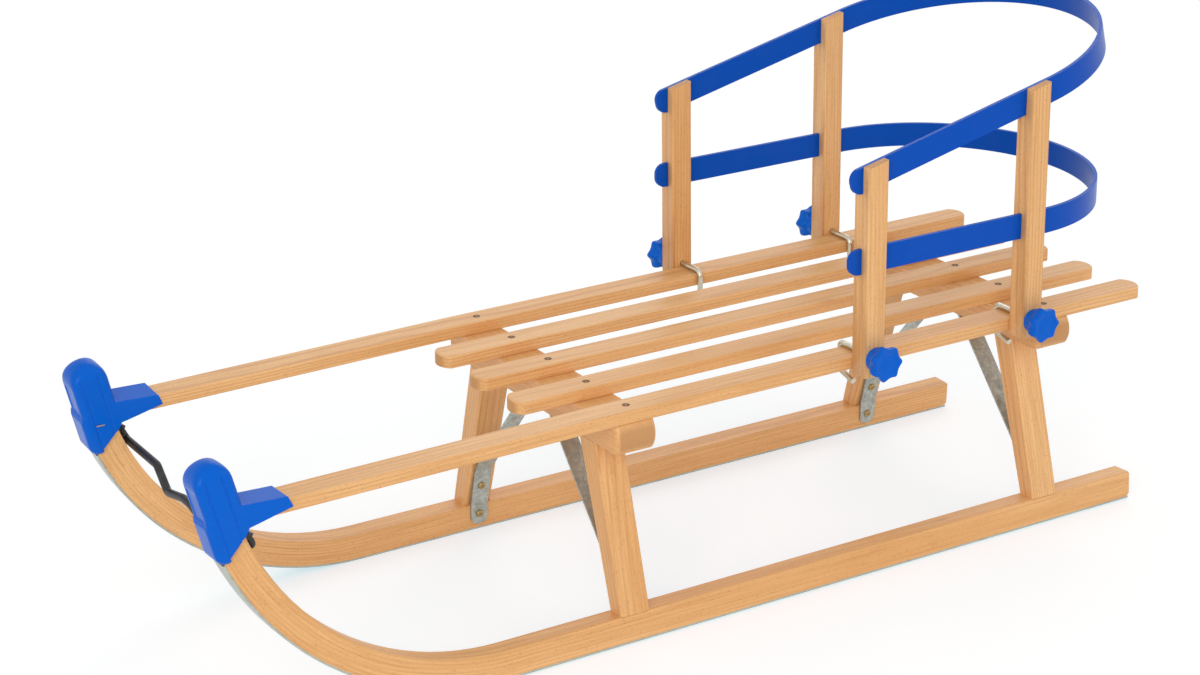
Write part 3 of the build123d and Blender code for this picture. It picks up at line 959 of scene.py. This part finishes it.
class SLED_OT_bar_bolts(Operator):
    """Add the hexagon bolt heads and washers that hold the tow bar to the horns"""

    bl_idname = "sled.bar_bolts"
    bl_label = "Bar bolts"

    # slope of the bar's flat ends
    slope = math.radians(68.6)
    # of a bolt: from the sled's middle, behind the bar's front and below its top
    offset, behind, below = 0.1480, 0.009, 0.006
    # how far off the bar a line starts that looks for it
    off_bar = 0.03

    def execute(self, context):
        across = context.scene.sled_sizes.bar_bolt
        plated = rolled_steel(
            "bolt_black", context.scene.sled_colours.bolt,
            streak_scale=900, roughness=0.34, tarnish=0.2, metallic=0.6,
        )
        low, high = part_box("tow_bar")
        outward = Vector((0, math.sin(self.slope), math.cos(self.slope)))
        washer, bore = across * 0.66, across * 0.4
        corner = across / 2 / math.cos(math.pi / 6)
        bm = bmesh.new()
        for _, side in SIDES:
            middle = Vector((side * self.offset, low.y + self.behind, high.z - self.below))
            spot, normal = surface_at("tow_bar", middle + outward * self.off_bar, -outward)
            seat = standing(spot, normal, 0.4 * side)
            turned(bm, seat, [
                (washer, -0.0004), (washer, 0.0006), (washer * 0.94, 0.0009), (bore, 0.0009),
            ], segments=40)
            turned(bm, seat, [
                (corner, 0.0007), (corner, 0.0036), (corner * 0.9, 0.0042), (corner * 0.4, 0.0043),
            ], segments=6)
        piece("bar_bolts", bm, plated, "sled")
        return {"FINISHED"}


class SLED_OT_cap_staples(Operator):
    """Add the small staple through each cap's inner flank"""

    bl_idname = "sled.cap_staples"
    bl_label = "Cap staples"

    # on the sled's middle, level with the staples
    start = (0, -0.5225, 0.2190)
    half_length = 0.0042
    radius = 0.0006
    sides = 6
    # share of half the length, height over the cap: the legs go in at both ends
    path = (
        (-1, -0.0012), (-1, 0.0002), (-0.8, 0.0006), (0.8, 0.0006), (1, 0.0002), (1, -0.0012),
    )

    def execute(self, context):
        wire = rolled_steel(
            "staple_wire", context.scene.sled_colours.staple,
            streak_scale=900, roughness=0.34, tarnish=0.1, metallic=0.7,
        )
        bm = bmesh.new()
        for hand, side in SIDES:
            spot, normal = surface_at(f"horn_cap_{hand}", self.start, (side, 0, 0))
            seat = standing(spot, normal)
            along = (seat.to_3x3().inverted() @ Vector((0, 1, 0))).normalized()
            over = Vector((0, 0, 1)).cross(along)
            loops = []
            for share, height in self.path:
                middle = along * (share * self.half_length) + Vector((0, 0, height))
                loop = []
                for index in range(self.sides):
                    angle = 2 * math.pi * index / self.sides
                    rise = Vector((0, 0, self.radius * math.sin(angle)))
                    point = middle + over * self.radius * math.cos(angle) + rise
                    loop.append(bm.verts.new(seat @ point))
                loops.append(loop)
            wrap(bm, loops)
        piece("cap_staples", bm, wire, "sled")
        return {"FINISHED"}


class SLED_OT_studio(Operator):
    """Add the pale floor, soft lights, white surround and camera"""

    bl_idname = "sled.studio"
    bl_label = "Studio"

    camera_place = (2.15712, -1.34519, 1.19766)
    # azimuth, elevation and roll, in degrees
    camera_turn = (58.85, 20.61, -0.818)
    # in millimetres
    lens = 80.75
    sensor = 36.0
    floor_half = 9.0
    # distances from the middle between which the floor gives way to the surround
    floor_fade = (0.9, 2.2)
    # the surround's strength for the light on the sled; the eye sees it at 1, which is white
    surround_light = 0.66
    lamp_aim = (0, 0, 0.2)
    lamps = (
        # name, place, size, watts
        ("key", (3.2, -2.8, 2.1), 2.6, 70.0),
        ("fill", (3.0, 2.2, 1.7), 2.4, 16.0),
        ("rear", (-2.2, 1.8, 2.6), 2.2, 18.0),
    )

    def execute(self, context):
        self.add_floor(context)
        self.add_surround(context)
        self.add_lamps(context)
        self.add_camera(context)
        context.scene.view_settings.view_transform = "Standard"
        return {"FINISHED"}

    def add_floor(self, context):
        """A pale floor that takes the sled's shadow and fades out around it."""
        bm = bmesh.new()
        bmesh.ops.create_grid(bm, x_segments=8, y_segments=8, size=self.floor_half)
        floor = holder_of("floor", bm)
        finish = Finish("studio_floor")
        x, y, z = finish.place()
        tooth = finish.noise(x * 40, y * 40, z, detail=2.0)
        away = (x * x + y * y).math("SQRT")
        tints = context.scene.sled_colours
        shown = finish.shown()
        tone = finish.mix(shown, tints.floor, tints.floor_seen)
        finish.shade(
            Base_Color=finish.mix(tooth * 0.02, tone, WHITE),
            Emission_Color=finish.mix(shown, BLACK, tints.floor_glow),
            Roughness=0.85, Specular_IOR_Level=0.1, Emission_Strength=1.0,
        )
        solid = Wire(finish, finish.shader.outputs["BSDF"])
        clear = finish.node("ShaderNodeBsdfTransparent")
        faded = finish.clamp(away, *self.floor_fade)
        finish.surface(finish.node("ShaderNodeMixShader", {}, {"Fac": faded, 1: solid, 2: clear}))
        floor.data.materials.append(finish.block)

    def add_surround(self, context):
        """An even white surround, dimmer for the light that it casts."""
        surround = Surround("studio_surround")
        seen = surround.shown() * (1 - self.surround_light)
        surround.shade(Color=WHITE, Strength=self.surround_light + seen)
        context.scene.world = surround.block

    def add_lamps(self, context):
        """Large square lamps that look at the sled."""
        for name, place, size, watts in self.lamps:
            lamp = bpy.data.lights.new(name, "AREA")
            lamp.size = size
            lamp.energy = watts
            holder = bpy.data.objects.new(name, lamp)
            holder.location = place
            aim = Vector(self.lamp_aim) - Vector(place)
            holder.rotation_euler = aim.to_track_quat("-Z", "Y").to_euler()
            context.scene.collection.objects.link(holder)

    def add_camera(self, context):
        """The camera at the photograph's viewing angle."""
        azimuth, elevation, roll = (math.radians(angle) for angle in self.camera_turn)
        ahead = Vector((
            -math.sin(azimuth) * math.cos(elevation),
            math.cos(azimuth) * math.cos(elevation),
            -math.sin(elevation),
        ))
        level = Vector((math.cos(azimuth), math.sin(azimuth), 0))
        above = level.cross(ahead)
        right = level * math.cos(roll) + above * math.sin(roll)
        up = above * math.cos(roll) - level * math.sin(roll)
        camera = bpy.data.cameras.new("camera")
        camera.sensor_width = self.sensor
        camera.sensor_fit = "HORIZONTAL"
        camera.lens = self.lens
        holder = bpy.data.objects.new("camera", camera)
        holder.matrix_world = Matrix((
            (right.x, up.x, -ahead.x, self.camera_place[0]),
            (right.y, up.y, -ahead.y, self.camera_place[1]),
            (right.z, up.z, -ahead.z, self.camera_place[2]),
            (0, 0, 0, 1),
        ))
        context.scene.collection.objects.link(holder)
        context.scene.camera = holder


OPERATORS = (
    SLED_OT_timber, SLED_OT_posts, SLED_OT_hoops, SLED_OT_horn_caps, SLED_OT_star_knobs,
    SLED_OT_metalwork, SLED_OT_slat_screws, SLED_OT_strap_screws, SLED_OT_bar_bolts,
    SLED_OT_cap_staples, SLED_OT_studio,
)


class SLED_PT_panel(Panel):
    """Buttons for every group of pieces, with their sizes and colours"""

    bl_label = "Davos Sled"
    bl_idname = "SLED_PT_panel"
    bl_space_type = "VIEW_3D"
    bl_region_type = "UI"
    bl_category = "Davos Sled"

    def draw(self, context):
        for group in (context.scene.sled_sizes, context.scene.sled_colours):
            box = self.layout.box()
            for name in group.__annotations__:
                box.prop(group, name)
        for operator in OPERATORS:
            self.layout.operator(operator.bl_idname)


CLASSES = (SledSizes, SledColours, *OPERATORS, SLED_PT_panel)


def register():
    for cls in CLASSES:
        bpy.utils.register_class(cls)
    bpy.types.Scene.sled_sizes = PointerProperty(type=SledSizes)
    bpy.types.Scene.sled_colours = PointerProperty(type=SledColours)


def unregister():
    del bpy.types.Scene.sled_colours
    del bpy.types.Scene.sled_sizes
    for cls in reversed(CLASSES):
        bpy.utils.unregister_class(cls)


def build_all():
    """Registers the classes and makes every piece."""
    register()
    for operator in OPERATORS:
        group, name = operator.bl_idname.split(".")
        getattr(getattr(bpy.ops, group), name)()


if __name__ == "__main__":
    build_all()
